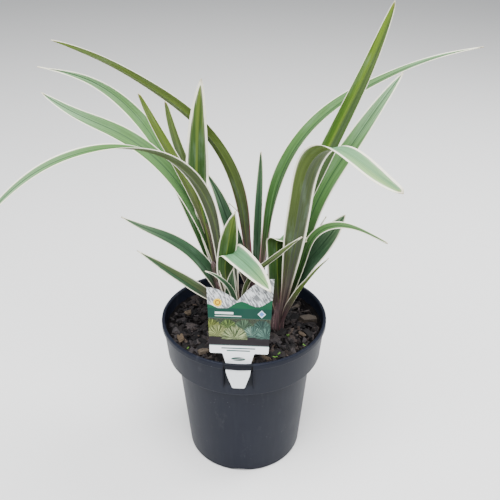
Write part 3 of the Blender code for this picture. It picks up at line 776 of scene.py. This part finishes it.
def grow_leaf(leaf, at, upper, under, node):
    # Bends the grid along the line, folds it, and makes it thick, with most flesh along the keel.
    bpy.ops.mesh.primitive_grid_add(x_subdivisions=BLADE_ACROSS, y_subdivisions=BLADE_STATIONS, size=2)
    blade = bpy.context.object
    blade.name = leaf.name
    stations = leaf_line(leaf, at)
    sizes = {}
    thin = blade.vertex_groups.new(name="thickness")
    for corner in blade.data.vertices:
        across = corner.co.x
        share, place, side, face = stations[round((corner.co.y + 1) / 2 * BLADE_STATIONS)]
        half = half_width(leaf, share)
        fold = fold_angle(share)
        spread = rise = 0.0
        for step in range(FOLD_PIECES):
            slope = fold * (1.12 - 0.5 * (step + 0.5) / FOLD_PIECES * abs(across))
            spread += half * abs(across) / FOLD_PIECES * math.cos(slope)
            rise += half * abs(across) / FOLD_PIECES * math.sin(slope)
        rise -= 0.45 * half * math.sin(fold)
        rise += 0.00018 * abs(across) ** 2 * math.sin(share * 23 + leaf.long + across)
        corner.co = place - side * math.copysign(spread, across) + face * rise
        sizes[corner.index] = (across * half, share * leaf.long / 1000, (1 - abs(across)) * half, share)
        keel = math.exp(-(across * half / 0.0006) ** 2)
        thin.add([corner.index], 0.30 + 0.70 * keel + 0.12 * (1 - abs(across)), "REPLACE")
    measure = blade.data.uv_layers.new(name="blade_mm")
    border = blade.data.uv_layers.new(name="blade_edge")
    for loop in blade.data.loops:
        across, along, edge, share = sizes[loop.vertex_index]
        measure.data[loop.index].uv = (across * 1000, along * 1000)
        border.data[loop.index].uv = (edge * 1000, share)
    blade.data.materials.append(upper)
    blade.data.materials.append(under)
    flesh = blade.modifiers.new("flesh", "SOLIDIFY")
    flesh.thickness = 0.0009
    flesh.offset = -1.0
    flesh.vertex_group = "thickness"
    flesh.material_offset = 1
    pick(blade)
    bpy.ops.object.modifier_apply(modifier="flesh")
    bpy.ops.object.shade_smooth_by_angle(angle=math.radians(70))
    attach(blade, "root")
    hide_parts(node)


CREAM = (0.86, 0.83, 0.68)
SHEATH_BROWN = (0.070, 0.042, 0.048)
SHEATH_PALE = (0.150, 0.105, 0.100)
CRIMSON = (0.23, 0.030, 0.085)

# The greens of one side of a blade: near its foot, in its middle, at its tip, and its fold or keel.
# Last comes the tone of the half that lies away from the light, which looks greyer than the other.
# Each low tone is darker than its middle: partly the leaf's own colour and partly painted shade where the
# leaves crowd at their feet.
Greens = namedtuple("Greens", "low middle tip rib shade", defaults=((0.05, 0.06, 0.05),))
# PALE, MINT and DARK have a rib tone darker than their middle, which is painted shade along the fold. The
# other greens' paler rib tone is the keel's own colour.
PALE = Greens((0.016, 0.056, 0.007), (0.082, 0.185, 0.054), (0.200, 0.350, 0.190), (0.020, 0.052, 0.024))
MINT = Greens(
    (0.026, 0.080, 0.024), (0.125, 0.290, 0.150), (0.260, 0.400, 0.150), (0.070, 0.150, 0.070),
    (0.125, 0.260, 0.140))
BRIGHT = Greens((0.012, 0.044, 0.009), (0.048, 0.110, 0.010), (0.130, 0.205, 0.022), (0.110, 0.185, 0.018))
DARK = Greens((0.015, 0.040, 0.016), (0.036, 0.084, 0.042), (0.110, 0.180, 0.095), (0.016, 0.040, 0.020))
FRESH = Greens((0.014, 0.040, 0.012), (0.030, 0.076, 0.014), (0.105, 0.162, 0.022), (0.105, 0.155, 0.022))
OLIVE = Greens((0.040, 0.050, 0.026), (0.070, 0.108, 0.017), (0.110, 0.165, 0.020), (0.080, 0.125, 0.024))
GREY_OLIVE = Greens(
    (0.046, 0.052, 0.034), (0.062, 0.090, 0.028), (0.100, 0.150, 0.036), (0.080, 0.110, 0.036))


def blade_finish(name, greens, margin, seed, sheath=45, blush=0.0, rib_width=0.5, half=0.0):
    # One side of a blade. margin is its cream edge and rib_width the width of the stripe of rib tone along
    # its fold, in mm, and sheath is how far up, in mm, the brown of its foot goes. blush reddens its edges
    # near the foot, and half paints shade on one half of it, the other one where it is negative. The veins
    # run along it, in its own map.
    made = Finish(name, specular_ior_level=0.16)
    across, along = made.parts_of(made.node("ShaderNodeUVMap", {"uv_map": "blade_mm"}))[:2]
    edge, share = made.parts_of(made.node("ShaderNodeUVMap", {"uv_map": "blade_edge"}))[:2]
    stripe = made.cloud(made.point(across + seed, along * 0.010, seed), 0.9, detail=2)
    fine = made.cloud(made.point(across * 3.4 + seed, along * 0.018, seed), 1.0, detail=1)
    patch = made.cloud(made.point(across * 0.15, along * 0.035, seed + 4.0), 1.0, detail=3)
    # Darker towards the foot: partly the leaf's own colour and partly painted shade low in the clump.
    colour = made.mix(share.ease(0.18, 0.62), greens.low, greens.middle)
    colour = made.mix(share.ease(0.66, 1.0), colour, greens.tip)
    # Painted shade: the half of the blade on one side of the fold is mixed towards the greens' shade tone.
    if half:
        beyond = across.ease(-0.25, 0.25) if half > 0 else across.ease(0.25, -0.25)
        colour = made.mix(beyond * abs(half), colour, greens.shade)
    darker = tuple(value * 0.55 for value in greens.middle)
    lighter = tuple(min(1, value * 1.6 + 0.01) for value in greens.middle)
    colour = made.mix(stripe.ease(0.40, 0.64) * 0.60, colour, darker)
    colour = made.mix(stripe.ease(0.60, 0.72) * 0.45, colour, lighter)
    colour = made.mix(patch.ease(0.50, 0.80) * 0.15, colour, (0.32, 0.46, 0.36))
    colour = made.mix(fine.ease(0.52, 0.72) * 0.22, colour, (0.015, 0.045, 0.012))
    # The stripe along the fold takes the rib tone: where it is darker than the middle it is painted shade
    # in the fold, and where it is paler it is the keel's own colour.
    keel = across.size().ease(rib_width * 1.1, rib_width * 0.3)
    colour = made.mix(keel * 0.85, colour, greens.rib)
    brown = made.mix(stripe.ease(0.35, 0.65), SHEATH_BROWN, SHEATH_PALE)
    brown = made.mix(fine.ease(0.60, 0.75) * 0.5, brown, CRIMSON)
    foot = (along + stripe * 0.5 * sheath).ease(sheath * 1.5, sheath * 0.6)
    colour = made.mix(foot * 0.95, colour, brown)
    ragged = edge + (stripe - 0.5) * 0.4 * margin + (patch - 0.5) * 0.5 * margin
    beside = ragged.ease(margin * 2.0, margin * 1.1) * fine.ease(0.40, 0.60) * 0.5
    between = tuple(0.45 * pale + 0.5 * green for pale, green in zip(CREAM, greens.middle))
    colour = made.mix(beside, colour, between)
    cream = made.mix(along.ease(sheath * 0.4, sheath * 1.1), (0.30, 0.19, 0.16), CREAM)
    colour = made.mix(ragged.ease(margin + 0.15, margin - 0.15), colour, cream)
    if blush:
        flush = edge.ease(1.3, 0.2) * along.ease(sheath * 2.0, sheath * 0.8) * blush
        colour = made.mix(flush, colour, CRIMSON)
    colour = made.mix(share.ease(0.975, 0.998) * 0.4, colour, (0.24, 0.16, 0.05))
    return made.cover(colour, 0.44 + patch * 0.16, stripe * 0.6 + fine, 0.00016)


def grow_fan(side, leaves):
    # Each row holds a leaf, the greens of its upper side and underside, its cream edge in mm, and more.
    at = SHOOT_PLACES[side]
    for count, (leaf, upper, under, margin, extra) in enumerate(leaves):
        seed = count * 7.3 + at[0] * 900
        top = blade_finish(f"{leaf.name}_upper", upper, margin, seed, **extra)
        back = blade_finish(f"{leaf.name}_under", under, margin * 0.9, seed + 3.1, **extra)
        grow_leaf(leaf, at, top, back, f"shoot_{side}")


STEM_BASE = 0.104
STEM_STRAIGHT = 0.020
STEM_LONG_RADIUS = 0.0060
STEM_SHORT_RADIUS = 0.0044
SHEATHS = 4


def grow_stem(side, turn, top, tall):
    # The fan's foot: a flattened false stem of sheaths wrapped one over another, tapering upwards. It is
    # a grid rolled up into a tube, with a step where each sheath's edge overlaps the next. turn is the
    # way its long side points. Its upper part is tall metres high and leans by top, in x and y.
    bpy.ops.mesh.primitive_grid_add(x_subdivisions=72, y_subdivisions=40, size=2)
    stem = bpy.context.object
    stem.name = f"stem_{side}"
    at = SHOOT_PLACES[side]
    lines = stem.data.uv_layers.new(name="stem_mm")
    sizes = {}
    for corner in stem.data.vertices:
        around = (corner.co.x + 1) / 2
        up = (corner.co.y + 1) / 2
        height = up * (STEM_STRAIGHT + tall)
        leaning = max(height - STEM_STRAIGHT, 0.0) / tall
        wraps = around * SHEATHS + up * 1.3
        step = 1.0 + 0.10 * (wraps % 1.0) - 0.05
        width = (1 - 0.38 * leaning) * step
        width *= math.sqrt(max(1 - leaning ** 6, 0.0))
        if up < 0.001:
            width = 0.0
        angle = 2 * math.pi * around
        long_side = STEM_LONG_RADIUS * width * math.cos(angle)
        short_side = STEM_SHORT_RADIUS * width * math.sin(angle)
        cosine = math.cos(math.radians(turn))
        sine = math.sin(math.radians(turn))
        corner.co = (
            at[0] + long_side * cosine - short_side * sine + top[0] * leaning,
            at[1] + long_side * sine + short_side * cosine + top[1] * leaning,
            STEM_BASE + height)
        sizes[corner.index] = (wraps % 1.0, height * 1000)
    for loop in stem.data.loops:
        lines.data[loop.index].uv = sizes[loop.vertex_index]
    face_outwards(stem, 0.00002)
    bpy.ops.object.shade_smooth_by_angle(angle=math.radians(50))
    stem.data.materials.append(sheath_finish)
    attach(stem, "root")
    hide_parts(f"shoot_{side}")


made = Finish("sheath_brown", specular_ior_level=0.2)
wrap, height = made.parts_of(made.node("ShaderNodeUVMap", {"uv_map": "stem_mm"}))[:2]
place = made.object_place()
fibre = made.cloud(made.stretched(place, 1100, 1100, 25), 1.0, detail=2)
blotch = made.cloud(place, 130, detail=2)
colour = made.mix(fibre.ease(0.35, 0.70), SHEATH_BROWN, SHEATH_PALE)
colour = made.mix(height.ease(38, 66) * blotch.ease(0.30, 0.60), colour, OLIVE.low)
colour = made.mix(fibre.ease(0.58, 0.72) * 0.5, colour, CRIMSON)
colour = made.mix(wrap.ease(0.90, 0.96) * 0.7, colour, (0.42, 0.30, 0.28))
colour = made.mix(height.ease(20, 14), colour, (0.020, 0.014, 0.013))
sheath_finish = made.cover(colour, 0.5 + blotch * 0.2, fibre, 0.0002)

grow_stem("left", -10, (-0.013, 0.001), 0.054)
grow_fan("left", [
    (Leaf("leaf_left_long_arch", 230, 6, 116, 0.55, 0.7, -31, 336, 11, 0.45, 80, -115, 20, 0.6),
     PALE, GREY_OLIVE, 0.8, {}),
    (Leaf("leaf_left_middle", 152, 11, 84, 0.5, 0.8, 8, 278, 15, 0.6, -15, -30, -20, 0.7),
     PALE, OLIVE, 0.6, {}),
    (Leaf("leaf_left_back", 127, 30, 71, 0.65, 0.5, 43, 297, 17, 0.4, 5, -80, 15, 1.1),
     PALE, OLIVE, 0.7, {}),
    (Leaf("leaf_left_inner_a", 160, 5, 32, 0.4, 0.8, 1, 210, 10.5, 0.55, 90, 5, -5, 0.4),
     OLIVE, OLIVE, 0.4, {"sheath": 115}),
    (Leaf("leaf_left_inner_b", 146, 6, 29, 0.35, 0.8, -5, 196, 10.5, 0.55, 100, 10, -15, 0.4),
     DARK, GREY_OLIVE, 0.4, {"sheath": 95}),
    (Leaf("leaf_left_upright", 156, 11, -3, 0.6, 0.05, 11, 214, 19.5, 0.6, 85, 20, -5, 0.7),
     FRESH, FRESH, 2.0, {"rib_width": 1.3, "sheath": 80}),
    (Leaf("leaf_left_low", 187, 9, 72, 0.5, 1, 2, 141, 13.5, 0.4, -45, 10, -15, 0.8),
     DARK, OLIVE, 0.5, {}),
    (Leaf("leaf_left_lowest", 209, 12, 46, 0.15, 0.6, -7, 114, 13, 0.35, -15, -20, 0, 0.8),
     DARK._replace(shade=(0.075, 0.105, 0.040)), OLIVE, 0.8, {"half": 0.8}),
])


# The back fan of leaves: one long leaf arches out to each side, with three short ones between them.
# Their sheaths are long and brown, with crimson along the edges.
grow_stem("back", 15, (-0.001, 0.002), 0.034)
grow_fan("back", [
    (Leaf("leaf_back_long_left", 191, 5, 57, 0.5, 0.55, -12, 308, 11.5, 0.5, 80, -20, 15, 0.6),
     PALE, OLIVE, 0.3, {"sheath": 75, "blush": 0.9}),
    (Leaf("leaf_back_short", 87, 6, 17, 0.55, 0.85, -7, 141, 8, 0.45, 0, 0, -15, 0.5),
     DARK, GREY_OLIVE, 0.4, {"sheath": 40}),
    (Leaf("leaf_back_long_right", 13, 6, 64, 0.5, 0.55, -10, 321, 16.5, 0.4, 25, -10, 15, 1),
     PALE, DARK, 0.6, {"sheath": 70, "blush": 0.7, "half": 0.35}),
    (Leaf("leaf_back_thin", 155, 3, 95, 0.9, 0.7, 0, 105, 4, 0.45, 60, 0),
     BRIGHT, OLIVE, 0.2, {}),
    (Leaf("leaf_back_low_left", 164, 14, 22, 0.55, 1, 1, 134, 14, 0.5, -45, 5, 10, 0.9),
     DARK, DARK, 0.6, {"rib_width": 1.0}),
])


# The front fan: a short young shoot behind the label. One broad leaf is folded over, and its tip hangs
# down in front of the label's top edge.
grow_stem("front", -15, (-0.003, 0.001), 0.022)
grow_fan("front", [
    (Leaf("leaf_front_upright", 327, -18, 10, 0.5, 0.3, 7, 119, 15.5, 0.7, -60, 0, 5, 0.9),
     FRESH, FRESH, 1.1, {"rib_width": 0.6, "sheath": 55}),
    (Leaf("leaf_front_folded", 315, -17, 85, 0.47, 0.15, -25, 159, 19, 0.55, 0, 25, 0, 0.7),
     MINT, DARK, 1.7, {"sheath": 60}),
    (Leaf("leaf_front_small", 165, 13, -10, 0.6, 0.9, 0, 65, 12, 0.45, -75, 0),
     DARK, DARK, 0.4, {"sheath": 12}),
    (Leaf("leaf_front_narrow", -32, 0, 43, 0.4, 0.45, 0, 131, 4.2, 0.7, -75, 0),
     GREY_OLIVE, GREY_OLIVE, 0.35, {}),
    (Leaf("leaf_front_crossing", 190, 4, 65, 0.7, 0.8, 0, 75, 6.5, 0.45, -45, 20),
     DARK, OLIVE, 0.3, {"sheath": 20}),
])


# The right fan: eight leaves, the tallest standing nearly straight. One broad leaf arches over at the
# top and shows its pale upper side, and one short one is creased across and its end lies over.
grow_stem("right", 10, (0.008, -0.001), 0.044)
grow_fan("right", [
    (Leaf("leaf_right_arch", 304, 11, 119, 0.7, 0.45, -5, 282, 19, 0.5, -50, 65, -30, 0.4),
     MINT, OLIVE, 1.5, {"rib_width": 0.2, "half": -0.6, "sheath": 70}),
    (Leaf("leaf_right_tall", -16, 6, 22, 0.4, 0.15, -6, 286, 13.5, 0.45, -75, -15, -5, 0.5),
     BRIGHT, BRIGHT, 0.4, {"rib_width": 1.2, "half": -0.45}),
    (Leaf("leaf_right_slant", 16, 12, 35, 0.5, 0.4, 10, 238, 16, 0.6, 40, 0, 5, 0.7),
     PALE, OLIVE, 0.8, {}),
    (Leaf("leaf_right_hook", -14, 14, 115, 0.7, 0.45, -1, 162, 9.5, 0.45, 55, -60, -5, 0.4),
     PALE._replace(tip=(0.050, 0.075, 0.020)), OLIVE, 0.6, {}),
    (Leaf("leaf_right_broad", 9, 10, 37, 0.4, 0.55, 1, 120, 19, 0.65, 65, -20, -5, 0.7),
     DARK, OLIVE, 0.8, {}),
    (Leaf("leaf_right_low", 323, 16, 33, 0.35, 0.9, -3, 101, 9, 0.5, -35, 35, 5, 0.7),
     OLIVE, OLIVE, 0.5, {}),
    (Leaf("leaf_right_thin", 20, 8, 30, 0.45, 0.8, 0, 110, 4, 0.45, 20, 0),
     DARK, OLIVE, 0.2, {}),
    (Leaf("leaf_right_folded", -25, -3, 84, 0.77, 0.10, 0, 114, 17, 0.9, -60, 60, 0, 0.5),
     PALE, FRESH, 1.2, {}),
])
